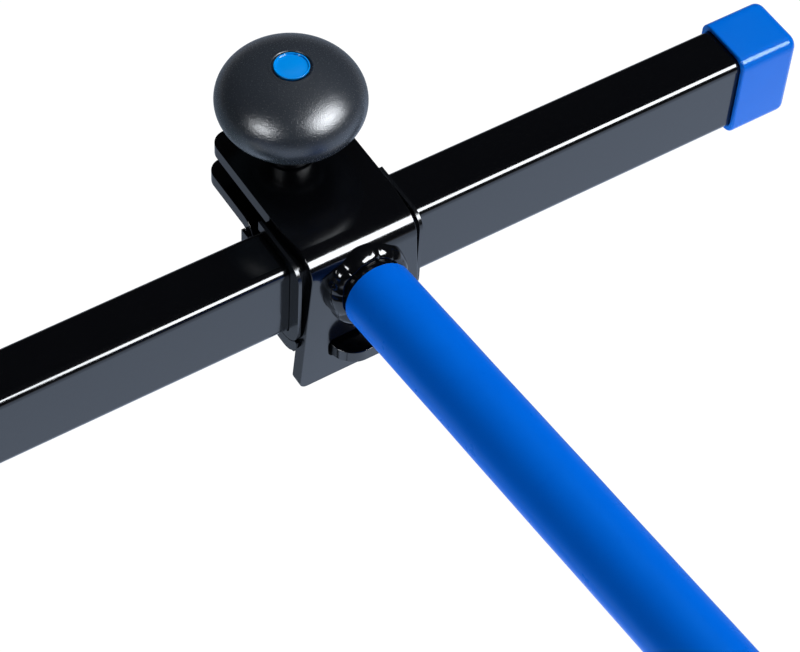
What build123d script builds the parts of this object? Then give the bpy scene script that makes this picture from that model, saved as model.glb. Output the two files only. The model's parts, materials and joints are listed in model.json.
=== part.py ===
from build123d import *
import os
from math import cos, pi, sin

os.makedirs("parts", exist_ok=True)

# Floor-standing bike repair stand. Frame: floor at z = 0 under the mast axis, +X along the beam,
# +Y to the rear, +Z up. The support arms point to the front (-Y). All values are millimetres.

# ---------------------------------------------------------------- driving dimensions
BEAM_Z = 960.0              # height of the beam's centreline
BEAM_HALF = 443.8           # half length of the beam tube, without its end caps
BEAM_DEPTH = 25.0           # beam section along Y
BEAM_HEIGHT = 40.0          # beam section along Z
TUBE_WALL = 2.0
TUBE_CORNER = 4.0           # outer corner radius of the rectangular tubes

CAP_WALL = 2.5              # vinyl end cap, side wall
CAP_END = 3.0               # vinyl end cap, end wall
CAP_LENGTH = 29.1           # from the cap's rim to its closed end
CAP_CORNER = 5.5

ARM_X = 225.0               # distance of each arm's collar from the mast
PLATE_T = 6.35              # bent collar and jaw plate thickness
BEND_HALF = 24.4            # half width of the collar plate at its bend
PLATE_HALF = 25.6           # half width of its top
LOWER_HALF = 29.1           # half width at its lower end
PLATE_FRONT = -22.0         # front face of the collar plate
PLATE_TOP = 29.0            # top face of the collar plate, above the beam's centreline
PLATE_BOTTOM = -47.2
PLATE_BACK = 57.8
BEND_OUTER = 10.0
REAR_CORNER = 7.0
LOWER_CORNER = 3.5

EAR_TOP = 13.0              # top face of the jaw's ear
JAW_HALF = 27.3
WEB_FRONT = 18.4            # front face of the jaw's upright web
LEG_TOP = -26.1             # top face of the jaw's lower leg
JAW_BEND_INNER = 2.4
TAB_HALF = 14.5
TAB_END = -32.0             # front end of the tab that hooks through the collar plate
TAB_CORNER = 11.0
SLOT_HALF = 15.6            # half length of the slot that the tab passes
SLOT_HEIGHT = 10.5
SLOT_Z = -28.8
SLOT_CORNER = 3.0

LINER_GAP = 0.3             # sliding clearance between the liner pads and the beam
LINER_BODY_HALF = 27.5
LINER_FLANGE = 1.5          # flange thickness along the beam
FLANGE_FRONT = -19.3
FLANGE_TOP = 25.0
FLANGE_BACK = 25.4
FLANGE_BOTTOM = -31.0
FLANGE_TOE = -18.5          # front end of the rear pad's flange
TOE_CORNER = 10.5
TOE_INSIDE = 28.1           # the toe passes the sides of the collar plate outside this half width
HOOK_BOTTOM = -24.6         # the front pad's flange hooks under the beam down to here
HOOK_END = -4.0
HOOK_CORNER = 12.0
PAD_GAP = 0.4               # gap between the flanges of the two pads
REAR_PAD_TOP = 6.4          # upper end of the rear pad
FLANGE_CORNER = 7.5

ARM_RISE = 7.3              # height of the arm's axis where it meets the collar plate
ARM_TILT = 7.5              # degrees above horizontal
ARM_TUBE_R = 13.5
ARM_TUBE_WALL = 2.0
ARM_LENGTH = 330.0
SLEEVE_R = 15.2
SLEEVE_START = 10.0         # bare tube between the collar plate and the sleeve
SLEEVE_END_WALL = 3.0
WELD_R = 17.8
WELD_LENGTH = 5.5

STUD_Y = 36.0
STUD_R = 4.0                # M8
RUNNING_GAP = 0.05          # radial clearance of a shaft in its own hole
WASHER_T = 2.0
STUD_WASHER_R = 8.5
KNOB_WASHER_R = 9.5
KNOB_R = 30.7
KNOB_HEIGHT = 47.0
KNOB_RING = 27.5            # height of the knob's widest ring above its foot
KNOB_BELLY = 13.5           # depth of the knob's rounded underside below its ring
KNOB_STEM_R = 10.5
INSERT_FLATS = 4.5          # knob insert: across flats beyond the stud's diameter
BADGE_R = 9.0
BADGE_DEPTH = 1.6

FOOT_H = 15.0               # rubber feet
LEG_GAP = 0.4               # running gap between the front legs and the hub plates
HUB_T = 5.0
HUB_PIVOT_X = 44.0
HUB_PIVOT_Y = -22.0
LEG_SPREAD = 35.0           # degrees each front leg stands out from straight ahead
LEG_LENGTH = 540.0          # pivot to the front leg's tube end
LEG_HEEL = 17.0             # tube behind the pivot
REAR_LEG_START = 16.0
REAR_BOLTS_Y = (40.0, 72.0)
REAR_LEG_END = 450.0
PIVOT_R = 6.0
SLEEVE_WALL = 2.5
BOLT_R = 4.0

MAST_OUTER = 50.0
MAST_OUTER_WALL = 2.5
MAST_OUTER_TOP = 620.0
MAST_INNER = 40.0
MAST_INNER_BOTTOM = 400.0
SADDLE_T = 5.0
SADDLE_HALF = 44.0
SADDLE_SIDE = 34.0          # height of the saddle's sides above its floor
SADDLE_BOLT_X = 28.0
BUSH_FLANGE = 6.0
BUSH_LENGTH = 60.0
CLAMP_Z = 585.0             # height clamp screw
CLAMP_R = 6.0
BOSS_R = 12.0
BOSS_LENGTH = 14.0

# ---------------------------------------------------------------- derived dimensions
LEG_BOTTOM = FOOT_H
LEG_TOP_Z = FOOT_H + BEAM_HEIGHT
HUB_UPPER_BOTTOM = LEG_TOP_Z + LEG_GAP
HUB_UPPER_TOP = HUB_UPPER_BOTTOM + HUB_T
HUB_LOWER_TOP = LEG_BOTTOM - LEG_GAP
HUB_LOWER_BOTTOM = HUB_LOWER_TOP - HUB_T
MAST_TOP = BEAM_Z - BEAM_HEIGHT / 2 - SADDLE_T
EAR_BOTTOM = EAR_TOP - PLATE_T
WEB_BACK = WEB_FRONT + PLATE_T
JAW_LEG_BOTTOM = LEG_TOP - PLATE_T
PLATE_UNDER = PLATE_TOP - PLATE_T
PLATE_INSIDE = PLATE_FRONT + PLATE_T


# ---------------------------------------------------------------- shared shapes
def save(shape, node):
    """Write one node."""
    export_step(shape, f"parts/{node}.step")


def side_face(lines):
    """Closed outline drawn in (y, z) as a face in the YZ plane."""
    return Plane.YZ * make_face(lines)


def bar_x(x_start, x_end, depth, height, corner):
    """Solid bar along X, centred on the X axis, with rounded long edges."""
    return extrude(Plane.YZ.offset(x_start) * RectangleRounded(depth, height, corner), x_end - x_start)


def bar_z(z_start, z_end, size_x, size_y, corner):
    """Solid bar along Z, centred on the Z axis, with rounded long edges."""
    return extrude(Plane.XY.offset(z_start) * RectangleRounded(size_x, size_y, corner), z_end - z_start)


def disc(z_start, z_end, radius):
    """Upright cylinder on the Z axis."""
    return extrude(Plane.XY.offset(z_start) * Circle(radius), z_end - z_start)


def ring(z_start, z_end, outer, inner):
    """Upright ring on the Z axis."""
    return extrude(Plane.XY.offset(z_start) * (Circle(outer) - Circle(inner)), z_end - z_start)


def rect_tube_x(x_start, x_end, depth, height):
    """Rectangular steel tube along X."""
    inner_corner = TUBE_CORNER - TUBE_WALL
    bore = bar_x(x_start, x_end, depth - 2 * TUBE_WALL, height - 2 * TUBE_WALL, inner_corner)
    return bar_x(x_start, x_end, depth, height, TUBE_CORNER) - bore


def hex_head(z_start, height, across_flats):
    """Hexagonal head or nut blank on the Z axis."""
    head = extrude(Plane.XY.offset(z_start) * RegularPolygon(across_flats / 2, 6, major_radius=False), height)
    blank = disc(z_start, z_start + height, across_flats * 0.56)
    return head & chamfer(blank.edges().filter_by(GeomType.CIRCLE), 0.8)


def hex_bolt(radius, length, across_flats):
    """Bolt on the Z axis: its head stands on z = 0 and its shank hangs below."""
    return hex_head(0, radius * 1.3, across_flats) + disc(-length, 0, radius)


def hex_nut(radius, across_flats):
    """Nut on the Z axis, from z = 0 downwards."""
    return hex_head(-radius * 1.6, radius * 1.6, across_flats) - disc(-radius * 2, 1, radius)


def square_bead(size, leg, corner):
    """Fillet weld round a square tube, widest at z = 0 and tapering upwards."""
    base = Plane.XY * RectangleRounded(size + 2 * leg, size + 2 * leg, corner + leg)
    bead = extrude(base, leg * 0.98, taper=45)
    return bead - bar_z(-1, leg + 1, size, size, corner)


# ---------------------------------------------------------------- mushroom knob, foot on z = 0
def knob_body():
    """Moulded mushroom knob: a stem, a shallow underside and an elliptical crown with a recess on top."""
    crown_height = KNOB_HEIGHT - KNOB_RING
    with BuildLine() as outline:
        foot = Line((0, 0), (KNOB_STEM_R - 1, 0))
        lip = Line(foot @ 1, (KNOB_STEM_R, 1))
        stem = Line(lip @ 1, (KNOB_STEM_R, KNOB_RING - KNOB_BELLY - 6))
        flare = RadiusArc(stem @ 1, (KNOB_STEM_R + 6, KNOB_RING - KNOB_BELLY), 6)
        under = Spline(flare @ 1, (KNOB_R * 0.88, KNOB_RING - KNOB_BELLY * 0.52), (KNOB_R, KNOB_RING),
                       tangents=((1, 0), (0, 1)))
        crown = Spline(under @ 1, (KNOB_R * cos(pi / 4), KNOB_RING + crown_height * sin(pi / 4)),
                       (0, KNOB_HEIGHT), tangents=((0, 1), (-1, 0)))
        Line(crown @ 1, foot @ 0)
    solid = revolve(Plane.XZ * make_face(outline.line), Axis.Z)
    return solid - disc(KNOB_HEIGHT - BADGE_DEPTH, KNOB_HEIGHT + 1, BADGE_R)


def knob_insert(radius, height):
    """Threaded steel insert moulded into the knob's foot, shown with a plain bore."""
    return hex_head(0, height, INSERT_FLATS + 2 * radius) - disc(-1, height + 1, radius + RUNNING_GAP)


def knob_set(radius, insert_height, bore_top):
    """Knob body and insert around a stud of the given radius."""
    insert = knob_insert(radius, insert_height)
    pocket = hex_head(0, insert_height, INSERT_FLATS + 2 * radius)
    body = knob_body() - pocket - disc(-1, bore_top, radius + 0.5)
    return {"knob": body, "knob_insert": insert}


# ---------------------------------------------------------------- collar and arm, beam axis on X
def l_section(outer_y, outer_z, inner_y, inner_z, end_y, end_z, outer_r, inner_r):
    """L-shaped outline in (y, z), with its corner at (outer_y, outer_z)."""
    with BuildLine() as outline:
        outer = FilletPolyline((end_y, outer_z), (outer_y, outer_z), (outer_y, end_z), radius=outer_r)
        foot = Line(outer @ 1, (inner_y, end_z))
        inner = FilletPolyline(foot @ 1, (inner_y, inner_z), (end_y, inner_z), radius=inner_r)
        Line(inner @ 1, outer @ 0)
    return side_face(outline.line)


def collar_plate():
    """Plate bent over the beam's top and front, with a slot for the jaw's tab."""
    section = l_section(PLATE_FRONT, PLATE_TOP, PLATE_INSIDE, PLATE_UNDER,
                        PLATE_BACK, PLATE_BOTTOM, BEND_OUTER, BEND_OUTER - PLATE_T)
    plate = extrude(section, LOWER_HALF, both=True)
    knee = PLATE_TOP - BEND_OUTER
    front_outline = make_face(Polyline((-LOWER_HALF, PLATE_BOTTOM), (LOWER_HALF, PLATE_BOTTOM),
                                       (BEND_HALF, knee), (BEND_HALF, PLATE_TOP + 1),
                                       (-BEND_HALF, PLATE_TOP + 1), (-BEND_HALF, knee), close=True))
    lower = front_outline.vertices().filter_by(lambda v: v.Y < knee - 1)
    front_outline = fillet(lower, LOWER_CORNER)
    bend_end = PLATE_FRONT + BEND_OUTER
    front_zone = extrude(Plane.XZ.offset(-bend_end) * front_outline, BEND_OUTER + 1)
    top_outline = make_face(Polyline((-BEND_HALF, bend_end), (BEND_HALF, bend_end),
                                     (PLATE_HALF, bend_end + 12), (PLATE_HALF, PLATE_BACK),
                                     (-PLATE_HALF, PLATE_BACK), (-PLATE_HALF, bend_end + 12), close=True))
    rear = top_outline.vertices().filter_by(lambda v: v.Y > PLATE_BACK - 1)
    top_outline = fillet(rear, REAR_CORNER)
    top_zone = extrude(Plane.XY.offset(knee - PLATE_T) * top_outline, 40)
    plate = plate & (front_zone + top_zone)
    slot = Pos(0, SLOT_Z) * RectangleRounded(2 * SLOT_HALF, SLOT_HEIGHT, SLOT_CORNER)
    plate -= extrude(Plane.XZ.offset(-PLATE_INSIDE - 1) * slot, PLATE_T + 2)
    plate -= Pos(0, STUD_Y, 0) * disc(PLATE_UNDER - 1, PLATE_TOP + 1, STUD_R + 0.5)
    return plate


def clamp_jaw():
    """Plate bent twice: an ear behind the beam, an upright web and a leg under the beam with a tab."""
    bend_outer = JAW_BEND_INNER + PLATE_T
    leg_end = PLATE_INSIDE + 2.1
    with BuildLine() as outline:
        front = FilletPolyline((PLATE_BACK, EAR_TOP), (WEB_FRONT, EAR_TOP), (WEB_FRONT, LEG_TOP),
                               (TAB_END, LEG_TOP), radius=[bend_outer, JAW_BEND_INNER])
        tip = Line(front @ 1, (TAB_END, JAW_LEG_BOTTOM))
        back = FilletPolyline(tip @ 1, (WEB_BACK, JAW_LEG_BOTTOM), (WEB_BACK, EAR_BOTTOM),
                              (PLATE_BACK, EAR_BOTTOM), radius=[bend_outer, JAW_BEND_INNER])
        Line(back @ 1, front @ 0)
    jaw = extrude(side_face(outline.line), JAW_HALF, both=True)
    depth = PLATE_BACK - leg_end
    plan = Pos(0, (PLATE_BACK + leg_end) / 2) * Rectangle(2 * JAW_HALF, depth)
    plan = fillet(plan.vertices().filter_by(lambda v: v.Y > 0), REAR_CORNER)
    tab = Pos(0, (TAB_END + leg_end) / 2 + 2) * Rectangle(2 * TAB_HALF, leg_end - TAB_END + 4)
    tab = fillet(tab.vertices().filter_by(lambda v: v.Y < leg_end - 1), TAB_CORNER)
    jaw = jaw & extrude(Plane.XY.offset(-60) * (plan + tab), 120)
    swing_slot = SlotOverall(16.0, 2 * STUD_R + 1.4, rotation=90)
    jaw -= extrude(Plane.XY.offset(EAR_BOTTOM - 1) * Pos(0, STUD_Y) * swing_slot, PLATE_T + 2)
    return jaw


def flanged_pad(body_face, flange_face):
    """Liner pad: a channel between two end flanges."""
    pad = extrude(body_face, LINER_BODY_HALF, both=True)
    flange = extrude(flange_face, LINER_FLANGE)
    return pad + Pos(LINER_BODY_HALF, 0, 0) * flange + Pos(-LINER_BODY_HALF - LINER_FLANGE, 0, 0) * flange


def front_pad():
    """Plastic pad between the collar plate and the beam's front and top."""
    inner_y = -BEAM_DEPTH / 2 - LINER_GAP
    inner_z = BEAM_HEIGHT / 2 + LINER_GAP
    end_y = BEAM_DEPTH / 2 - 0.5
    end_z = -BEAM_HEIGHT / 2 - 0.1
    inner_r = TUBE_CORNER - 0.5
    body = l_section(PLATE_INSIDE, PLATE_UNDER, inner_y, inner_z, end_y, end_z,
                     BEND_OUTER - PLATE_T, inner_r)
    with BuildLine() as outline:
        outer = FilletPolyline((end_y, FLANGE_TOP), (FLANGE_FRONT, FLANGE_TOP), (FLANGE_FRONT, HOOK_BOTTOM),
                               (HOOK_END, HOOK_BOTTOM), radius=[FLANGE_CORNER, HOOK_CORNER])
        tip = Line(outer @ 1, (HOOK_END, -inner_z))
        inner = FilletPolyline(tip @ 1, (inner_y, -inner_z), (inner_y, inner_z), (end_y, inner_z),
                               radius=inner_r)
        Line(inner @ 1, outer @ 0)
    return flanged_pad(body, side_face(outline.line))


def rear_pad():
    """Plastic pad between the jaw and the beam's back and underside."""
    inner_y = BEAM_DEPTH / 2 + LINER_GAP
    inner_z = -BEAM_HEIGHT / 2 - LINER_GAP
    end_y = -BEAM_DEPTH / 2 + 0.5
    inner_r = TUBE_CORNER - 0.5
    body = l_section(WEB_FRONT, LEG_TOP, inner_y, inner_z, end_y, REAR_PAD_TOP, JAW_BEND_INNER, inner_r)
    with BuildLine() as outline:
        outer = FilletPolyline((FLANGE_TOE, inner_z), (FLANGE_TOE, FLANGE_BOTTOM),
                               (FLANGE_BACK, FLANGE_BOTTOM),
                               (FLANGE_BACK, REAR_PAD_TOP), radius=[TOE_CORNER, FLANGE_CORNER])
        top = Line(outer @ 1, (inner_y, REAR_PAD_TOP))
        inner = FilletPolyline(top @ 1, (inner_y, inner_z), (FLANGE_TOE, inner_z), radius=inner_r)
    flange = side_face(outline.line)
    with BuildLine() as hook:
        under = FilletPolyline((HOOK_END + PAD_GAP, 0), (HOOK_END + PAD_GAP, HOOK_BOTTOM - PAD_GAP),
                               (FLANGE_FRONT - PAD_GAP, HOOK_BOTTOM - PAD_GAP), (FLANGE_FRONT - PAD_GAP, 0),
                               radius=[PAD_GAP, HOOK_CORNER + PAD_GAP])
        Line(under @ 1, under @ 0)
    pad = flanged_pad(body, flange - side_face(hook.line))
    side = Pos(0, (PLATE_INSIDE + 0.45 + FLANGE_TOE) / 2 - 1, FLANGE_BOTTOM)
    return pad - side * Box(2 * TOE_INSIDE, PLATE_INSIDE + 0.45 - FLANGE_TOE + 2, 40)


def on_arm(shape):
    """Place a shape made along +Z from the collar plate's front face onto the tilted arm axis."""
    return Pos(0, PLATE_FRONT, ARM_RISE) * Rot(90 - ARM_TILT, 0, 0) * shape


def arm_tube():
    """Steel tube, cut to stand flat on the collar plate."""
    long_tube = ring(-20, ARM_LENGTH - SLEEVE_END_WALL, ARM_TUBE_R, ARM_TUBE_R - ARM_TUBE_WALL)
    keep = Pos(0, PLATE_FRONT - 500, 0) * Box(200, 1000, 1000)
    return on_arm(long_tube) & keep


def arm_weld():
    """Fillet weld round the foot of the arm tube."""
    cone = Solid.make_cone(WELD_R + 2.0, ARM_TUBE_R + 0.8, WELD_LENGTH + 4, Plane.XY.offset(-4))
    keep = Pos(0, PLATE_FRONT - 50, 0) * Box(100, 100, 200)
    return (on_arm(Part() + cone) & keep) - on_arm(disc(-20, 40, ARM_TUBE_R))


def arm_sleeve():
    """Dipped vinyl sleeve with a closed, rounded free end."""
    skin = disc(SLEEVE_START, ARM_LENGTH, SLEEVE_R)
    free_end = skin.edges().filter_by(GeomType.CIRCLE).sort_by(Axis.Z)[-1]
    skin = fillet(free_end, 6.0)
    root = skin.edges().filter_by(GeomType.CIRCLE).sort_by(Axis.Z)[0]
    skin = fillet(root, 1.0)
    return on_arm(skin - disc(0, ARM_LENGTH - SLEEVE_END_WALL, ARM_TUBE_R))


def clamp_stud():
    """Bolt that hangs through the knob, the collar plate and the jaw's ear, head down."""
    head_height = 5.3
    washer_foot = EAR_BOTTOM - WASHER_T
    head = hex_head(washer_foot - head_height, head_height, 13.0)
    shank = disc(washer_foot, PLATE_TOP + WASHER_T + 24, STUD_R)
    return Pos(0, STUD_Y, 0) * (head + shank)


def clamp_parts():
    """Every piece of one clamp and arm, with the beam's axis on the X axis."""
    stand = Pos(0, STUD_Y, PLATE_TOP + WASHER_T)
    parts = {
        "collar_plate": collar_plate(),
        "clamp_jaw": clamp_jaw(),
        "front_pad": front_pad(),
        "rear_pad": rear_pad(),
        "arm_tube": arm_tube(),
        "arm_weld": arm_weld(),
        "arm_sleeve": arm_sleeve(),
        "clamp_stud": clamp_stud(),
        "stud_washer": Pos(0, STUD_Y, 0) * ring(EAR_BOTTOM - WASHER_T, EAR_BOTTOM, STUD_WASHER_R, STUD_R),
        "knob_washer": Pos(0, STUD_Y, 0) * ring(PLATE_TOP, PLATE_TOP + WASHER_T - 0.1, KNOB_WASHER_R,
                                                STUD_R + 0.4),
    }
    for name, shape in knob_set(STUD_R, 14.0, 28.0).items():
        parts[name] = stand * shape
    return parts


# ---------------------------------------------------------------- beam, saddle and mast
def saddle_bolt_places():
    """Places of the two bolts that pass through the saddle and the beam, head to the front."""
    front = -BEAM_DEPTH / 2 - SADDLE_T
    return [Pos(x, front, BEAM_Z) * Rot(90, 0, 0) for x in (-SADDLE_BOLT_X, SADDLE_BOLT_X)]


def beam():
    """Horizontal rectangular tube, drilled for the saddle's bolts."""
    tube = Pos(0, 0, BEAM_Z) * rect_tube_x(-BEAM_HALF, BEAM_HALF, BEAM_DEPTH, BEAM_HEIGHT)
    for place in saddle_bolt_places():
        tube -= place * disc(-60, 10, BOLT_R)
    return tube


def beam_cap(side):
    """Dipped vinyl cap on one end of the beam."""
    rim = BEAM_HALF + CAP_END - CAP_LENGTH
    end = BEAM_HALF + CAP_END
    depth = BEAM_DEPTH + 2 * CAP_WALL
    height = BEAM_HEIGHT + 2 * CAP_WALL
    cap = bar_x(rim, end, depth, height, CAP_CORNER)
    cap = fillet(cap.faces().sort_by(Axis.X)[-1].edges(), 4.0)
    cap -= bar_x(rim - 1, BEAM_HALF, BEAM_DEPTH, BEAM_HEIGHT, TUBE_CORNER)
    if side < 0:
        cap = mirror(cap, Plane.YZ)
    return Pos(0, 0, BEAM_Z) * cap


def saddle():
    """Channel that carries the beam on top of the mast."""
    width = BEAM_DEPTH + 2 * SADDLE_T
    foot = MAST_TOP
    with BuildLine() as outline:
        outer = FilletPolyline((-width / 2, foot + SADDLE_T + SADDLE_SIDE), (-width / 2, foot),
                               (width / 2, foot), (width / 2, foot + SADDLE_T + SADDLE_SIDE),
                               radius=SADDLE_T - 1)
        side = Line(outer @ 1, (BEAM_DEPTH / 2, foot + SADDLE_T + SADDLE_SIDE))
        inner = Polyline(side @ 1, (BEAM_DEPTH / 2, foot + SADDLE_T), (-BEAM_DEPTH / 2, foot + SADDLE_T),
                         (-BEAM_DEPTH / 2, foot + SADDLE_T + SADDLE_SIDE))
        Line(inner @ 1, outer @ 0)
    channel = extrude(side_face(outline.line), SADDLE_HALF, both=True)
    for place in saddle_bolt_places():
        channel -= place * disc(-60, 10, BOLT_R)
    return channel


def saddle_bolts():
    """Two hex bolts through the saddle and the beam."""
    shank = BEAM_DEPTH + 2 * SADDLE_T + 10
    return Compound(children=[place * hex_bolt(BOLT_R, shank, 13.0) for place in saddle_bolt_places()])


def saddle_nuts():
    """Nuts on the saddle's bolts, at the back."""
    through = BEAM_DEPTH + 2 * SADDLE_T
    nuts = [place * Pos(0, 0, -through) * hex_nut(BOLT_R, 13.0) for place in saddle_bolt_places()]
    return Compound(children=nuts)


def mast_outer_tube():
    """Square outer mast tube, standing on the hub, with a hole for the height clamp's screw."""
    inner = MAST_OUTER - 2 * MAST_OUTER_WALL
    tube = bar_z(HUB_UPPER_TOP, MAST_OUTER_TOP, MAST_OUTER, MAST_OUTER, TUBE_CORNER)
    tube -= bar_z(HUB_UPPER_TOP, MAST_OUTER_TOP, inner, inner, TUBE_CORNER - MAST_OUTER_WALL)
    return tube - clamp_bore(CLAMP_R + 0.5)


def clamp_bore(radius):
    """Round cutter along the height clamp's screw axis, from inside the mast to the rear."""
    return Pos(0, MAST_INNER / 2, CLAMP_Z) * Rot(-90, 0, 0) * disc(0, 60, radius)


def mast_bush():
    """Plastic bush that guides the inner mast in the outer mast's mouth."""
    hole = MAST_INNER + 2 * LINER_GAP
    cavity = MAST_OUTER - 2 * MAST_OUTER_WALL
    body = bar_z(MAST_OUTER_TOP - BUSH_LENGTH, MAST_OUTER_TOP, cavity, cavity,
                 TUBE_CORNER - MAST_OUTER_WALL)
    flange = bar_z(MAST_OUTER_TOP, MAST_OUTER_TOP + BUSH_FLANGE, MAST_OUTER + 4, MAST_OUTER + 4,
                   TUBE_CORNER + 2)
    flange = fillet(flange.faces().sort_by(Axis.Z)[-1].edges(), 2.0)
    bush = body + flange
    bush -= bar_z(MAST_OUTER_TOP - BUSH_LENGTH - 1, MAST_OUTER_TOP + BUSH_FLANGE + 1, hole, hole,
                  TUBE_CORNER + LINER_GAP)
    return bush - clamp_bore(CLAMP_R + 0.5)


def mast_inner_tube():
    """Square inner mast tube under the saddle."""
    inner = MAST_INNER - 2 * TUBE_WALL
    tube = bar_z(MAST_INNER_BOTTOM, MAST_TOP, MAST_INNER, MAST_INNER, TUBE_CORNER)
    return tube - bar_z(MAST_INNER_BOTTOM, MAST_TOP, inner, inner, TUBE_CORNER - TUBE_WALL)


def mast_slider():
    """Plastic collar on the inner mast's foot, running in the outer mast."""
    outer = MAST_OUTER - 2 * MAST_OUTER_WALL - 2 * LINER_GAP
    block = bar_z(MAST_INNER_BOTTOM, MAST_INNER_BOTTOM + 30, outer, outer, TUBE_CORNER - MAST_OUTER_WALL)
    return block - bar_z(MAST_INNER_BOTTOM - 1, MAST_INNER_BOTTOM + 31, MAST_INNER, MAST_INNER, TUBE_CORNER)


def behind_mast(shape, distance):
    """Place a shape made along +Z onto the height clamp's axis, pointing to the rear."""
    return Pos(0, distance, CLAMP_Z) * Rot(-90, 0, 0) * shape


def height_clamp():
    """Boss, tip, stud and knob of the height clamp."""
    face = MAST_OUTER / 2
    tip_foot = MAST_INNER / 2 + 0.1
    tip_end = tip_foot + 3.0
    knob_foot = face + BOSS_LENGTH + 1.0
    parts = {
        "height_boss": behind_mast(ring(0, BOSS_LENGTH, BOSS_R, CLAMP_R + RUNNING_GAP), face),
        "height_tip": behind_mast(disc(0, tip_end - tip_foot, CLAMP_R - 0.5), tip_foot),
        "height_stud": behind_mast(disc(0, knob_foot + 22 - tip_end - 0.1, CLAMP_R), tip_end + 0.1),
    }
    for name, shape in knob_set(CLAMP_R, 14.0, 24.0).items():
        parts[f"height_{name}"] = behind_mast(shape, knob_foot)
    parts["height_knob_insert"] -= behind_mast(disc(-1, 20, CLAMP_R), knob_foot)
    return parts


# ---------------------------------------------------------------- base
def hub_plate(z_start):
    """Plate that holds the three legs."""
    outline = make_face(Polyline((-68, -46), (68, -46), (68, 4), (26, 88), (-26, 88), (-68, 4), close=True))
    outline = fillet(outline.vertices(), 12.0)
    plate = extrude(Plane.XY.offset(z_start) * outline, HUB_T)
    for x in (-HUB_PIVOT_X, HUB_PIVOT_X):
        plate -= Pos(x, HUB_PIVOT_Y, 0) * disc(0, 100, PIVOT_R)
    for y in REAR_BOLTS_Y:
        plate -= Pos(0, y, 0) * disc(0, 100, BOLT_R)
    return plate


def leg_tube(start, end):
    """Leg tube along +X, at its height above the floor."""
    return Pos(0, 0, LEG_BOTTOM + BEAM_HEIGHT / 2) * rect_tube_x(start, end, BEAM_DEPTH, BEAM_HEIGHT)


def leg_plug(end):
    """Moulded plug in a leg tube's outer end."""
    inner_depth = BEAM_DEPTH - 2 * TUBE_WALL
    inner_height = BEAM_HEIGHT - 2 * TUBE_WALL
    plug = bar_x(end - 16, end, inner_depth, inner_height, TUBE_CORNER - TUBE_WALL)
    head = bar_x(end, end + 5, BEAM_DEPTH, BEAM_HEIGHT, TUBE_CORNER)
    head = fillet(head.faces().sort_by(Axis.X)[-1].edges(), 3.0)
    return Pos(0, 0, LEG_BOTTOM + BEAM_HEIGHT / 2) * (plug + head)


def rubber_foot(distance):
    """Round rubber foot under a leg's outer end."""
    foot = disc(0, FOOT_H, 17.0)
    foot = fillet(foot.edges().filter_by(GeomType.CIRCLE), 2.0)
    return Pos(distance, 0, 0) * foot


def front_leg(side):
    """Pieces of one folding front leg, on its pivot."""
    angle = -90 + side * LEG_SPREAD
    place = Pos(side * HUB_PIVOT_X, HUB_PIVOT_Y, 0) * Rot(0, 0, angle)
    bore_r = PIVOT_R + RUNNING_GAP
    sleeve_r = bore_r + SLEEVE_WALL
    tube = leg_tube(-LEG_HEEL, LEG_LENGTH) - disc(0, 100, sleeve_r)
    return {
        "front_leg": place * tube,
        "pivot_sleeve": place * ring(LEG_BOTTOM, LEG_TOP_Z, sleeve_r, bore_r),
        "front_leg_plug": place * leg_plug(LEG_LENGTH),
        "front_foot": place * rubber_foot(LEG_LENGTH - 22),
    }


def rear_leg_pieces():
    """Pieces of the fixed rear leg."""
    place = Rot(0, 0, 90)
    tube = place * leg_tube(REAR_LEG_START, REAR_LEG_END)
    for y in REAR_BOLTS_Y:
        tube -= Pos(0, y, 0) * disc(0, 100, BOLT_R)
    return {
        "rear_leg": tube,
        "rear_leg_plug": place * leg_plug(REAR_LEG_END),
        "rear_foot": place * rubber_foot(REAR_LEG_END - 22),
    }


def low_hex_nut(radius, height, across_flats):
    """Thin lock nut on the Z axis, from z = 0 downwards."""
    return hex_head(-height, height, across_flats) - disc(-height - 1, 1, radius)


def hub_fasteners():
    """Pivot bolts, rear leg bolts and their nuts."""
    pivots = [Pos(x, HUB_PIVOT_Y, 0) for x in (-HUB_PIVOT_X, HUB_PIVOT_X)]
    rears = [Pos(0, y, 0) for y in REAR_BOLTS_Y]
    up = Pos(0, 0, HUB_UPPER_TOP)
    down = Pos(0, 0, HUB_LOWER_BOTTOM)
    low_nut = 6.5
    shank = HUB_UPPER_TOP - HUB_LOWER_BOTTOM + low_nut
    return {
        "pivot_bolts": Compound(children=[p * up * hex_bolt(PIVOT_R, shank, 19.0) for p in pivots]),
        "pivot_nuts": Compound(children=[p * down * low_hex_nut(PIVOT_R, low_nut, 19.0) for p in pivots]),
        "rear_leg_bolts": Compound(children=[p * up * hex_bolt(BOLT_R, shank, 13.0) for p in rears]),
        "rear_leg_nuts": Compound(children=[p * down * low_hex_nut(BOLT_R, low_nut, 13.0) for p in rears]),
    }


def hub_pad():
    """Rubber pad under the hub, flat on the floor."""
    pad = disc(0, HUB_LOWER_BOTTOM, 24.0)
    rim = pad.edges().filter_by(GeomType.CIRCLE).sort_by(Axis.Z)[0]
    return fillet(rim, 1.5)


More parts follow.
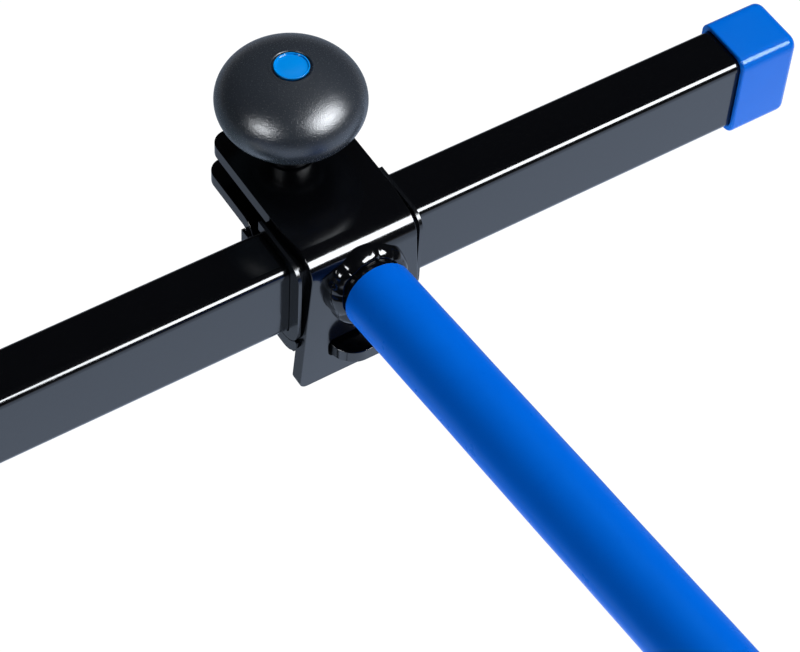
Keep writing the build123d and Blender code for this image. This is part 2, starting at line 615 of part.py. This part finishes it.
# ---------------------------------------------------------------- assembly
nodes = {
    "hub_lower_plate": hub_plate(HUB_LOWER_BOTTOM),
    "hub_upper_plate": hub_plate(HUB_UPPER_BOTTOM),
    "hub_pad": hub_pad(),
    "mast_outer_tube": mast_outer_tube(),
    "mast_weld": Pos(0, 0, HUB_UPPER_TOP) * square_bead(MAST_OUTER, 5.0, TUBE_CORNER),
    "mast_bush": mast_bush(),
    "mast_inner_tube": mast_inner_tube(),
    "mast_slider": mast_slider(),
    "saddle": saddle(),
    "saddle_weld": Pos(0, 0, MAST_TOP) * Rot(180, 0, 0) * square_bead(MAST_INNER, 3.5, TUBE_CORNER),
    "saddle_bolts": saddle_bolts(),
    "saddle_nuts": saddle_nuts(),
    "beam": beam(),
    "beam_cap_right": beam_cap(1),
    "beam_cap_left": beam_cap(-1),
}
nodes.update(height_clamp())
nodes.update(rear_leg_pieces())
nodes.update(hub_fasteners())
for hand, side in (("right", 1), ("left", -1)):
    for name, shape in front_leg(side).items():
        nodes[f"{name}_{hand}"] = shape
    for name, shape in clamp_parts().items():
        nodes[f"{name}_{hand}"] = Pos(side * ARM_X, 0, BEAM_Z) * shape

for node, shape in nodes.items():
    save(shape, node)
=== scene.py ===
import json
from math import cos, pi, radians, sin, tan

import bmesh
import bpy
from mathutils import Matrix, Vector, noise


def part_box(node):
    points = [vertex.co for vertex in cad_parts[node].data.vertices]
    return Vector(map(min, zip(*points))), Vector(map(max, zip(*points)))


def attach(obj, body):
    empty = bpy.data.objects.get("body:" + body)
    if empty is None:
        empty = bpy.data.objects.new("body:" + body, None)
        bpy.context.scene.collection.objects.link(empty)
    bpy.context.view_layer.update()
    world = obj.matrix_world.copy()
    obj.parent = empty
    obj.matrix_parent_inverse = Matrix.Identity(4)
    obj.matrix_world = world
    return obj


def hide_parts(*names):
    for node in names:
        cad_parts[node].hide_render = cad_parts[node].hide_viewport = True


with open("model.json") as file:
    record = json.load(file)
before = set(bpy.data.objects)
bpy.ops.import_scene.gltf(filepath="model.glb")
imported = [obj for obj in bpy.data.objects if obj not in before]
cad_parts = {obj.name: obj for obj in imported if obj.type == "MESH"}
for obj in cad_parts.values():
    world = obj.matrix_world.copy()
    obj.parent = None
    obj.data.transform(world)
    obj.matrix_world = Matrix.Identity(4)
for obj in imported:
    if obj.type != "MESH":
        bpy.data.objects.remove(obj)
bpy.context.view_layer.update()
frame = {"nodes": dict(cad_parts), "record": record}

# Bike repair stand: sliding knob clamps on a rectangular beam, blue vinyl sleeves and caps.
# Lengths are metres unless a comment says millimetres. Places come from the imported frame.

MM = 0.001
HANDS = ("right", "left")


def middle(node):
    """Centre of a node's box."""
    low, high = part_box(node)
    return (Vector(low) + Vector(high)) / 2


# The camera and the lights face the point where the right-hand clamp crosses the beam's axis.
BEAM_AXIS = middle("beam")
CLAMP = Vector((middle("collar_plate_right").x, BEAM_AXIS.y, BEAM_AXIS.z))


# ---------------------------------------------------------------- materials
def new_material(name, color, roughness, metallic=0.0, specular=0.5):
    """Principled material with constant values. Gives back the material and its shader."""
    material = bpy.data.materials.new(name)
    material.use_nodes = True
    shader = material.node_tree.nodes["Principled BSDF"]
    shader.inputs["Base Color"].default_value = (*color, 1.0)
    shader.inputs["Roughness"].default_value = roughness
    shader.inputs["Metallic"].default_value = metallic
    shader.inputs["Specular IOR Level"].default_value = specular
    return material, shader


def add_noise(material, scale, detail=3.0, roughness=0.5, stretch=(1, 1, 1)):
    """Noise in the piece's own space, in cycles per metre."""
    nodes, links = material.node_tree.nodes, material.node_tree.links
    place = nodes.new("ShaderNodeTexCoord")
    mapping = nodes.new("ShaderNodeMapping")
    mapping.inputs["Scale"].default_value = stretch
    texture = nodes.new("ShaderNodeTexNoise")
    texture.inputs["Scale"].default_value = scale
    texture.inputs["Detail"].default_value = detail
    texture.inputs["Roughness"].default_value = roughness
    links.new(place.outputs["Object"], mapping.inputs["Vector"])
    links.new(mapping.outputs["Vector"], texture.inputs["Vector"])
    return texture.outputs["Fac"]


def remap(material, value, low, high, start=0.3, end=0.7):
    """Stretch a value from start..end to low..high."""
    node = material.node_tree.nodes.new("ShaderNodeMapRange")
    node.inputs["From Min"].default_value = start
    node.inputs["From Max"].default_value = end
    node.inputs["To Min"].default_value = low
    node.inputs["To Max"].default_value = high
    material.node_tree.links.new(value, node.inputs["Value"])
    return node.outputs["Result"]


def vary_roughness(material, shader, value, low, high):
    """Let a value move the roughness between two bounds."""
    material.node_tree.links.new(remap(material, value, low, high), shader.inputs["Roughness"])


def vary_color(material, shader, value, dark, light):
    """Blend the base colour between two tones."""
    ramp = material.node_tree.nodes.new("ShaderNodeValToRGB")
    ramp.color_ramp.elements[0].color = (*dark, 1.0)
    ramp.color_ramp.elements[1].color = (*light, 1.0)
    material.node_tree.links.new(value, ramp.inputs["Fac"])
    material.node_tree.links.new(ramp.outputs["Color"], shader.inputs["Base Color"])


def add_bump(material, shader, height, distance):
    """Bump whose full height is a distance in metres."""
    bump = material.node_tree.nodes.new("ShaderNodeBump")
    bump.inputs["Distance"].default_value = distance
    material.node_tree.links.new(height, bump.inputs["Height"])
    material.node_tree.links.new(bump.outputs["Normal"], shader.inputs["Normal"])


def gloss_paint(name, dull, gloss):
    """Black paint with a faint orange peel and a few duller patches."""
    material, shader = new_material(name, (0.002, 0.0022, 0.003), dull, specular=0.45)
    vary_roughness(material, shader, add_noise(material, scale=55, detail=4.0), gloss, dull)
    add_bump(material, shader, add_noise(material, scale=420, detail=1.0), 0.00001)
    return material


def liner_plastic():
    """Satin black moulding with a fine texture."""
    material, shader = new_material("liner_plastic_look", (0.004, 0.0045, 0.006), 0.2, specular=0.45)
    vary_roughness(material, shader, add_noise(material, scale=90), 0.15, 0.26)
    add_bump(material, shader, add_noise(material, scale=3200, detail=2.0), 0.000012)
    return material


def knob_plastic():
    """Satin black moulding with a pebbled grain."""
    material, shader = new_material("knob_plastic_look", (0.026, 0.0305, 0.038), 0.24)
    grain = add_noise(material, scale=1700, detail=2.0, roughness=0.6)
    add_bump(material, shader, grain, 0.00011)
    vary_roughness(material, shader, grain, 0.19, 0.29)
    return material


def blue_vinyl(name, roughness, dark, light, specular, tint, wave=0.00008):
    """Vinyl with a soft sheen, slow waves in its surface and a faint mottle."""
    material, shader = new_material(name, light, roughness, specular=specular)
    shader.inputs["Specular Tint"].default_value = (*tint, 1.0)
    vary_color(material, shader, add_noise(material, scale=38), dark, light)
    vary_roughness(material, shader, add_noise(material, scale=130, detail=2.0),
                   roughness - 0.03, roughness + 0.04)
    add_bump(material, shader, add_noise(material, scale=75, detail=1.5), wave)
    return material


def zinc_steel():
    """Bright zinc plate with fine turning marks."""
    material, shader = new_material("zinc_look", (0.62, 0.63, 0.64), 0.3, metallic=1.0)
    marks = add_noise(material, scale=260, stretch=(1, 1, 12))
    vary_roughness(material, shader, marks, 0.2, 0.42)
    add_bump(material, shader, marks, 0.00001)
    return material


def painted_shade_zinc():
    """Zinc plate with its colour painted near black: painted shade for the washers under the knobs'
    overhang.
    """
    material, shader = new_material("painted_shade_zinc_look", (0.03, 0.031, 0.034), 0.4, metallic=1.0)
    vary_roughness(material, shader, add_noise(material, scale=320), 0.32, 0.48)
    return material


def brass():
    """Turned brass."""
    material, shader = new_material("brass_look", (0.72, 0.5, 0.2), 0.28, metallic=1.0)
    vary_roughness(material, shader, add_noise(material, scale=300), 0.2, 0.36)
    return material


def rubber():
    """Moulded rubber with a dusty bloom."""
    material, shader = new_material("rubber_look", (0.018, 0.018, 0.018), 0.7)
    bloom = add_noise(material, scale=140, detail=5.0)
    vary_color(material, shader, bloom, (0.012, 0.012, 0.012), (0.03, 0.03, 0.029))
    add_bump(material, shader, add_noise(material, scale=1500, detail=2.0), 0.00005)
    return material


# The record's material slots, and three looks that it doesn't tell apart: cap_vinyl, badge and a near-black
# zinc whose dark colour is painted shade on the washers under the knobs.
LOOKS = {
    "frame_paint": gloss_paint("frame_paint_look", dull=0.16, gloss=0.1),
    "clamp_paint": gloss_paint("clamp_paint_look", dull=0.15, gloss=0.09),
    "liner_plastic": liner_plastic(),
    "knob_plastic": knob_plastic(),
    "blue_vinyl": blue_vinyl("sleeve_vinyl_look", roughness=0.3, dark=(0.0, 0.118, 0.64),
                             light=(0.0, 0.136, 0.7), specular=0.06, tint=(0.1, 0.9, 1.0), wave=0.00003),
    "cap_vinyl": blue_vinyl("cap_vinyl_look", roughness=0.14, dark=(0.0, 0.13, 0.63),
                            light=(0.0, 0.15, 0.68), specular=0.2, tint=(0.75, 0.98, 1.0)),
    "badge": blue_vinyl("badge_look", roughness=0.12, dark=(0.0, 0.24, 0.74),
                        light=(0.0, 0.27, 0.8), specular=0.4, tint=(0.9, 1.0, 1.0)),
    "zinc_steel": zinc_steel(),
    "painted_shade_zinc": painted_shade_zinc(),
    "brass_tip": brass(),
    "foot_rubber": rubber(),
}

NODE_SLOTS = {part["node"]: part["material_slot"] for part in frame["record"]["subparts"]}
BODIES = frame["record"]["behaviour"]["bodies"]
NODE_BODIES = {node: body for body, nodes in BODIES.items() for node in nodes}


def dress(obj, look):
    """Give a piece one material all over."""
    obj.data.materials.clear()
    obj.data.materials.append(LOOKS[look])


for node, obj in frame["nodes"].items():
    # Knob washers are zinc; their near-black colour is painted shade for the shade under the knobs.
    dress(obj, "painted_shade_zinc" if node.startswith("knob_washer") else NODE_SLOTS[node])


# ---------------------------------------------------------------- making pieces
def add_piece(name, mesh, node, look=None, replaces=True):
    """Put a mesh into the scene, riding with a node's body and, unless told not to, replacing it."""
    piece = bpy.data.objects.new(name, mesh)
    bpy.context.scene.collection.objects.link(piece)
    slot = NODE_SLOTS[node]
    dress(piece, look or slot)
    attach(piece, NODE_BODIES[node])
    if replaces:
        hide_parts(node)
    return piece


def mesh_from(name, points, faces, smooth=True):
    """Mesh from points and faces, shaded smooth or flat."""
    mesh = bpy.data.meshes.new(name)
    mesh.from_pydata([tuple(point) for point in points], [], faces)
    mesh.polygons.foreach_set("use_smooth", [smooth] * len(mesh.polygons))
    mesh.update()
    return mesh


def lathe(name, profile, place, segments=128):
    """Turn (radius, height) points round the local Z axis. A profile off the axis closes into a ring."""
    points, faces, rows = [], [], []
    for radius, height in profile:
        if radius < 1e-7:
            rows.append([len(points)])
            points.append(place @ Vector((0, 0, height)))
            continue
        rows.append(list(range(len(points), len(points) + segments)))
        for step in range(segments):
            angle = 2 * pi * step / segments
            points.append(place @ Vector((radius * cos(angle), radius * sin(angle), height)))
    bands = list(zip(rows, rows[1:]))
    if len(rows[0]) > 1 and len(rows[-1]) > 1:
        bands.append((rows[-1], rows[0]))
    for low, high in bands:
        if len(low) == len(high) == 1:
            continue
        for step in range(segments):
            after = (step + 1) % segments
            corners = dict.fromkeys((low[step % len(low)], low[after % len(low)],
                                     high[after % len(high)], high[step % len(high)]))
            faces.append(list(corners))
    return mesh_from(name, points, faces)


def arc(center, radius, start, end, steps):
    """Points on an arc of a profile. Angles are degrees from the outward direction."""
    across, up = radius if isinstance(radius, tuple) else (radius, radius)
    angles = [radians(start + (end - start) * step / steps) for step in range(steps + 1)]
    return [(center[0] + across * cos(angle), center[1] + up * sin(angle)) for angle in angles]


# ---------------------------------------------------------------- plates, liners, caps and fasteners
MERGE_WITHIN = 2e-6             # vertices closer than this become one
FLAT_ANGLE = radians(0.4)       # facets that meet at less than this are joined
SHARP_ANGLE = radians(30)       # edges sharper than this are rounded

# Edge radii in millimetres: nodes with a right and a left, then single nodes.
HANDED_EDGES = {
    "collar_plate": 0.8, "clamp_jaw": 0.8, "front_pad": 0.7, "rear_pad": 0.6, "front_foot": 0.6,
    "front_leg_plug": 0.5, "clamp_stud": 0.3,
}
SINGLE_EDGES = {
    "saddle": 0.7, "hub_upper_plate": 0.8, "hub_lower_plate": 0.8, "mast_bush": 0.6, "rear_foot": 0.6,
    "rear_leg_plug": 0.5, "height_boss": 0.6, "saddle_bolts": 0.3, "saddle_nuts": 0.3, "pivot_bolts": 0.4,
    "pivot_nuts": 0.4, "rear_leg_bolts": 0.3, "rear_leg_nuts": 0.3,
}
CAP_EDGE = 0.9


def softened(node, width, segments=3, look=None):
    """A copy of a CAD node with its sharp edges rounded and its faces shaded smooth."""
    shape = bmesh.new()
    shape.from_mesh(frame["nodes"][node].data)
    bmesh.ops.remove_doubles(shape, verts=shape.verts, dist=MERGE_WITHIN)
    bmesh.ops.dissolve_limit(shape, angle_limit=FLAT_ANGLE, verts=shape.verts, edges=shape.edges)
    mesh = bpy.data.meshes.new(f"{node}_soft")
    shape.to_mesh(mesh)
    shape.free()
    for layer in ("custom_normal", "sharp_edge", "sharp_face"):
        if layer in mesh.attributes:
            mesh.attributes.remove(mesh.attributes[layer])
    mesh.polygons.foreach_set("use_smooth", [True] * len(mesh.polygons))
    mesh.set_sharp_from_angle(angle=SHARP_ANGLE)
    piece = add_piece(f"{node}_piece", mesh, node, look)
    bevel = piece.modifiers.new("edge_radius", "BEVEL")
    bevel.width = width
    bevel.segments = segments
    bevel.limit_method = "ANGLE"
    bevel.angle_limit = SHARP_ANGLE
    bevel.harden_normals = True


for hand in HANDS:
    for name, width in HANDED_EDGES.items():
        softened(f"{name}_{hand}", width * MM)
    softened(f"beam_cap_{hand}", CAP_EDGE * MM, segments=4, look="cap_vinyl")
for name, width in SINGLE_EDGES.items():
    softened(name, width * MM)

# ---------------------------------------------------------------- knobs, in millimetres
KNOB_R = 30.7
KNOB_TALL = 47.0                # to the pole of the crown, which the recess cuts away
KNOB_RING = 27.5                # height of the widest ring
KNOB_BELLY = 13.5               # how far the underside drops below that ring
KNOB_STEM_R = 10.5
STEM_FLARE = 5.5                # radius of the hollow between the stem and the belly
FOOT_ROUND = 1.0
FOOT_HOLLOW = 0.3
LIP_ANGLE = 75.6                # where the crown ends, in degrees up from the ring
LIP_ROUND = 0.6
LIP_HEIGHT = KNOB_RING + (KNOB_TALL - KNOB_RING) * sin(radians(LIP_ANGLE))
RECESS_R = 8.0
RECESS_FLOOR = LIP_HEIGHT - 1.0
BADGE_R = 7.2
BADGE_RIM = 0.35                # radius of the badge's rolled rim
BADGE_FOOT = 0.6                # depth of the badge below its own origin
BADGE_SINK = 0.05               # how far it is set into the recess's floor


def in_metres(points):
    """Profile points from millimetres."""
    return [(across * MM, up * MM) for across, up in points]


def knob_profile():
    """Section of the knob's outside, from its foot up the stem, round the ring and into the recess."""
    crown = KNOB_TALL - KNOB_RING
    flare_height = KNOB_RING - KNOB_BELLY - STEM_FLARE
    belly_start = KNOB_STEM_R + 5.0
    points = [(0.0, FOOT_HOLLOW), (KNOB_STEM_R - 2.2, FOOT_HOLLOW), (KNOB_STEM_R - 2.0, 0.0)]
    points += arc((KNOB_STEM_R - FOOT_ROUND, FOOT_ROUND), FOOT_ROUND, -90, 0, 5)
    points += arc((KNOB_STEM_R + STEM_FLARE, flare_height), STEM_FLARE, 180, 96, 10)
    points += arc((belly_start, KNOB_RING), (KNOB_R - belly_start, KNOB_BELLY), -88, 0, 26)
    points += arc((0.0, KNOB_RING), (KNOB_R, crown), 2, LIP_ANGLE - 3.0, 44)
    points += arc((RECESS_R + LIP_ROUND, LIP_HEIGHT - LIP_ROUND - 0.02), LIP_ROUND, 75, 180, 6)
    points += [(RECESS_R, RECESS_FLOOR), (0.0, RECESS_FLOOR)]
    return in_metres(points)


def badge_profile():
    """Section of the plain round badge: a low dome inside a raised rim."""
    points = [(0.0, -BADGE_FOOT), (BADGE_R, -BADGE_FOOT), (BADGE_R, 0.35)]
    points += arc((BADGE_R - BADGE_RIM, 0.4), BADGE_RIM, 0, 180, 8)
    points += [(BADGE_R - 0.75, 0.1), (BADGE_R - 1.1, 0.05), (BADGE_R - 2.4, 0.2), (BADGE_R * 0.4, 0.42),
               (0.0, 0.5)]
    return in_metres(points)


def add_knob(node, place):
    """A turned knob in place of a CAD knob, and its badge."""
    add_piece(f"{node}_piece", lathe(f"{node}_mesh", knob_profile(), place), node)
    seat = place @ Matrix.Translation((0, 0, (RECESS_FLOOR + BADGE_FOOT - BADGE_SINK) * MM))
    badge = lathe(f"{node}_badge_mesh", badge_profile(), seat, 96)
    piece = add_piece(f"{node}_badge", badge, node, "badge", replaces=False)


for hand in HANDS:
    low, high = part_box(f"knob_{hand}")
    add_knob(f"knob_{hand}", Matrix.Translation(((low[0] + high[0]) / 2, (low[1] + high[1]) / 2, low[2])))
low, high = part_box("height_knob")
height_knob_foot = Matrix.Translation(((low[0] + high[0]) / 2, low[1], (low[2] + high[2]) / 2))
add_knob("height_knob", height_knob_foot @ Matrix.Rotation(radians(-90), 4, "X"))

# ---------------------------------------------------------------- arms: sleeve and weld
ARM_TILT = 7.5                  # degrees up from level
ARM_RISE = 7.3 * MM             # from the beam's axis up to the arm's root
ARM_LENGTH = 330.0 * MM
ARM_TUBE_R = 13.5 * MM
SLEEVE_R = 15.2 * MM
SLEEVE_START = 10.0 * MM        # along the arm from the collar plate
SLEEVE_LIP = 0.8 * MM
SLEEVE_NOSE = 6.0 * MM          # rounding of the free end
SLEEVE_END_WALL = 3.0 * MM
WELD_SIDE = 5.6 * MM            # reach of the bead over the plate
WELD_UP = 8.6 * MM              # and along the tube
WELD_BITE = 0.3 * MM            # overlap with the tube's wall
WELD_LUMPS = 9
WELD_FULLNESS = 0.85            # 1 is an elliptical section, less is fuller


def arm_place(hand):
    """Frame with its Z axis along the arm and its origin on the collar plate's front face."""
    plate_low, plate_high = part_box(f"collar_plate_{hand}")
    root = Vector(((plate_low[0] + plate_high[0]) / 2, plate_low[1], BEAM_AXIS.z + ARM_RISE))
    return Matrix.Translation(root) @ Matrix.Rotation(radians(90 - ARM_TILT), 4, "X")


def sleeve_profile():
    """Section of the dipped sleeve: a rolled lip, a long wall with slow ripples and a domed end."""
    wall = SLEEVE_R - ARM_TUBE_R
    points = arc((ARM_TUBE_R + wall / 2, SLEEVE_START + SLEEVE_LIP), (wall / 2, SLEEVE_LIP), 180, 360, 10)
    rings = 60
    run = ARM_LENGTH - SLEEVE_NOSE - SLEEVE_START - 3 * SLEEVE_LIP
    for ring in range(1, rings):
        along = SLEEVE_START + 2 * SLEEVE_LIP + run * ring / rings
        ripple = 0.03 * MM * sin(along * 61.0) + 0.02 * MM * sin(along * 143.0)
        points.append((SLEEVE_R + ripple, along))
    flat_end = SLEEVE_R - SLEEVE_NOSE
    points += arc((flat_end, ARM_LENGTH - SLEEVE_NOSE), SLEEVE_NOSE, 0, 90, 12)
    points += [(flat_end / 2, ARM_LENGTH + 0.15 * MM), (0.0, ARM_LENGTH + 0.2 * MM)]
    points += [(0.0, ARM_LENGTH - SLEEVE_END_WALL), (ARM_TUBE_R, ARM_LENGTH - SLEEVE_END_WALL)]
    return points


def wobble(angle, size, seed):
    """Smooth noise round the arm that meets itself after a turn."""
    return noise.noise(Vector((cos(angle) * size, sin(angle) * size, seed)))


def weld_mesh(name, place, seed):
    """Painted weld bead: overlapping lumps round the foot of the tube, cut off at the sloping plate."""
    around, across = 240, 14
    slope = tan(radians(ARM_TILT))
    inner = ARM_TUBE_R - WELD_BITE
    points, faces = [], []
    for step in range(around):
        angle = 2 * pi * step / around
        lump_phase = WELD_LUMPS * step / around + 0.6 * wobble(angle, 2, seed)
        ripple = abs(sin(pi * lump_phase)) ** 0.6
        swell = wobble(angle, 1.3, seed + 5)
        side = WELD_SIDE * (0.88 + 0.1 * ripple + 0.16 * swell)
        tall = WELD_UP * (0.9 + 0.07 * ripple + 0.14 * swell)
        for row in range(across + 1):
            turn = pi / 2 * row / across
            skin = 1.0 + 0.05 * wobble(angle, 4, seed + row * 0.2)
            radius = inner + (side + WELD_BITE) * cos(turn) ** WELD_FULLNESS * skin
            along = tall * sin(turn) ** WELD_FULLNESS * skin - radius * sin(angle) * slope
            points.append(place @ Vector((radius * cos(angle), radius * sin(angle), along)))
        points.append(place @ Vector((inner * cos(angle), inner * sin(angle), -inner * sin(angle) * slope)))
    ring_size = across + 2
    for step in range(around):
        here, there = step * ring_size, (step + 1) % around * ring_size
        for row in range(ring_size):
            after = (row + 1) % ring_size
            faces.append((here + row, there + row, there + after, here + after))
    return mesh_from(name, points, faces)


for count, hand in enumerate(HANDS):
    place = arm_place(hand)
    sleeve = lathe(f"sleeve_{hand}", sleeve_profile(), place)
    add_piece(f"arm_sleeve_{hand}_piece", sleeve, f"arm_sleeve_{hand}")
    weld = weld_mesh(f"weld_{hand}", place, seed=3.0 + count)
    add_piece(f"arm_weld_{hand}_piece", weld, f"arm_weld_{hand}")

# ---------------------------------------------------------------- camera, floor and light
CAMERA_FROM_CLAMP = Vector((-0.3907, -0.5954, 0.8678))
AZIMUTH, ELEVATION, ROLL = radians(-35.56), radians(52.05), radians(4.1)
LENS = 124.6                    # millimetres, on a sensor 36 mm wide
FLOOR_HALF = 4.2
GLOW_DEPTH = 0.002
GLOW_COLOR = (0.64, 0.77, 1.0)
GLOW_FRONT, GLOW_BACK = 1.5, 0.35
GLOW_FADE = (0.05, 0.5)         # the glow fades between these distances behind the beam
PALE_GROUND, DARK_ROOM = 0.5, 0.015
HORIZON = (-0.22, -0.06)        # upward part of the directions between which one becomes the other
COOL_WHITE = (0.93, 0.965, 1.0)
GREEN_WHITE = (0.66, 1.0, 0.92)


def add_camera():
    """Long lens looking down over the right-hand clamp from the front left."""
    data = bpy.data.cameras.new("camera")
    data.sensor_width = 36.0
    data.sensor_fit = "HORIZONTAL"
    data.lens = LENS
    data.clip_end = 100.0
    camera = bpy.data.objects.new("camera", data)
    bpy.context.scene.collection.objects.link(camera)
    back = Vector((sin(AZIMUTH) * cos(ELEVATION), -cos(AZIMUTH) * cos(ELEVATION), sin(ELEVATION)))
    level_right = Vector((cos(AZIMUTH), sin(AZIMUTH), 0.0))
    level_up = back.cross(level_right)
    right = cos(ROLL) * level_right + sin(ROLL) * level_up
    up = back.cross(right)
    turn = Matrix((right, up, back)).transposed().to_4x4()
    camera.matrix_world = Matrix.Translation(CLAMP + CAMERA_FROM_CLAMP) @ turn
    bpy.context.scene.camera = camera


def stage_plane(name, height, color, strength):
    """Level glowing sheet that isn't part of the object. Gives back the sheet, material and shader."""
    half = FLOOR_HALF
    corners = [(-half, -half, height), (half, -half, height), (half, half, height), (-half, half, height)]
    plane = bpy.data.objects.new(name, mesh_from(name, corners, [(0, 1, 2, 3)], smooth=False))
    bpy.context.scene.collection.objects.link(plane)
    material, shader = new_material(f"{name}_look", (0.05, 0.05, 0.05), 1.0, specular=0.0)
    shader.inputs["Emission Color"].default_value = (*color, 1.0)
    shader.inputs["Emission Strength"].default_value = strength
    plane.data.materials.append(material)
    plane.visible_shadow = False
    return plane, material, shader


def add_floor():
    """White paper floor, and just under it a glow that lights the stand and fades behind the beam."""
    paper = stage_plane("floor", 0.0, (1.0, 1.0, 1.0), 1.0)[0]
    paper.visible_diffuse = False
    paper.visible_glossy = False
    paper.visible_transmission = False
    glow, material, shader = stage_plane("floor_glow", -GLOW_DEPTH, GLOW_COLOR, GLOW_FRONT)
    glow.visible_camera = False
    place = material.node_tree.nodes.new("ShaderNodeTexCoord")
    split = material.node_tree.nodes.new("ShaderNodeSeparateXYZ")
    material.node_tree.links.new(place.outputs["Object"], split.inputs["Vector"])
    fade = remap(material, split.outputs["Y"], GLOW_FRONT, GLOW_BACK, *GLOW_FADE)
    fade.node.interpolation_type = "SMOOTHSTEP"
    material.node_tree.links.new(fade, shader.inputs["Emission Strength"])


def softbox(name, azimuth, elevation, distance, spread, radiance, seen, color=COOL_WHITE):
    """Rectangular light facing the clamp, seen by gloss or by diffuse surfaces only.

    Azimuth turns from the front towards the right. Angles are degrees, the spread's included.
    """
    data = bpy.data.lights.new(name, "AREA")
    data.shape = "RECTANGLE"
    data.size, data.size_y = [2 * distance * tan(radians(angle / 2)) for angle in spread]
    data.energy = radiance * pi * data.size * data.size_y
    data.color = color
    light = bpy.data.objects.new(name, data)
    bpy.context.scene.collection.objects.link(light)
    turn, rise = radians(azimuth), radians(elevation)
    way = Vector((sin(turn) * cos(rise), -cos(turn) * cos(rise), sin(rise)))
    light.location = CLAMP + way * distance
    light.rotation_euler = way.to_track_quat("Z", "Y").to_euler()
    light.visible_camera = False
    light.visible_diffuse = seen == "diffuse"
    light.visible_glossy = seen == "gloss"


def add_world():
    """White surroundings to look at; reflections see pale ground and a dark room above it."""
    world = bpy.data.worlds.new("studio")
    bpy.context.scene.world = world
    world.use_nodes = True
    nodes, links = world.node_tree.nodes, world.node_tree.links
    place = nodes.new("ShaderNodeTexCoord")
    split = nodes.new("ShaderNodeSeparateXYZ")
    fade = nodes.new("ShaderNodeMapRange")
    fade.interpolation_type = "SMOOTHSTEP"
    fade.inputs["From Min"].default_value = HORIZON[0]
    fade.inputs["From Max"].default_value = HORIZON[1]
    fade.inputs["To Min"].default_value = PALE_GROUND
    fade.inputs["To Max"].default_value = DARK_ROOM
    paths = nodes.new("ShaderNodeLightPath")
    pick = nodes.new("ShaderNodeMix")
    pick.inputs["B"].default_value = 1.0
    links.new(place.outputs["Generated"], split.inputs["Vector"])
    links.new(split.outputs["Z"], fade.inputs["Value"])
    links.new(paths.outputs["Is Camera Ray"], pick.inputs["Factor"])
    links.new(fade.outputs["Result"], pick.inputs["A"])
    links.new(pick.outputs["Result"], nodes["Background"].inputs["Strength"])
    nodes["Background"].inputs["Color"].default_value = (1.0, 1.0, 1.0, 1.0)


add_camera()
add_floor()
add_world()
softbox("front_gloss", azimuth=33, elevation=40, distance=1.7, spread=(37, 26), radiance=32.0, seen="gloss")
softbox("left_gloss", azimuth=-74, elevation=29, distance=1.7, spread=(21, 17), radiance=26.0, seen="gloss")
softbox("right_fill", azimuth=95, elevation=69, distance=2.0, spread=(60, 45), radiance=4.3, seen="diffuse")
softbox("left_fill", azimuth=-100, elevation=-50, distance=1.1, spread=(50, 34), radiance=6.8,
        seen="diffuse", color=GREEN_WHITE)
softbox("front_fill", azimuth=25, elevation=8, distance=2.2, spread=(50, 30), radiance=2.8, seen="diffuse")
bpy.context.scene.view_settings.view_transform = "Standard"
bpy.context.scene.view_settings.look = "None"
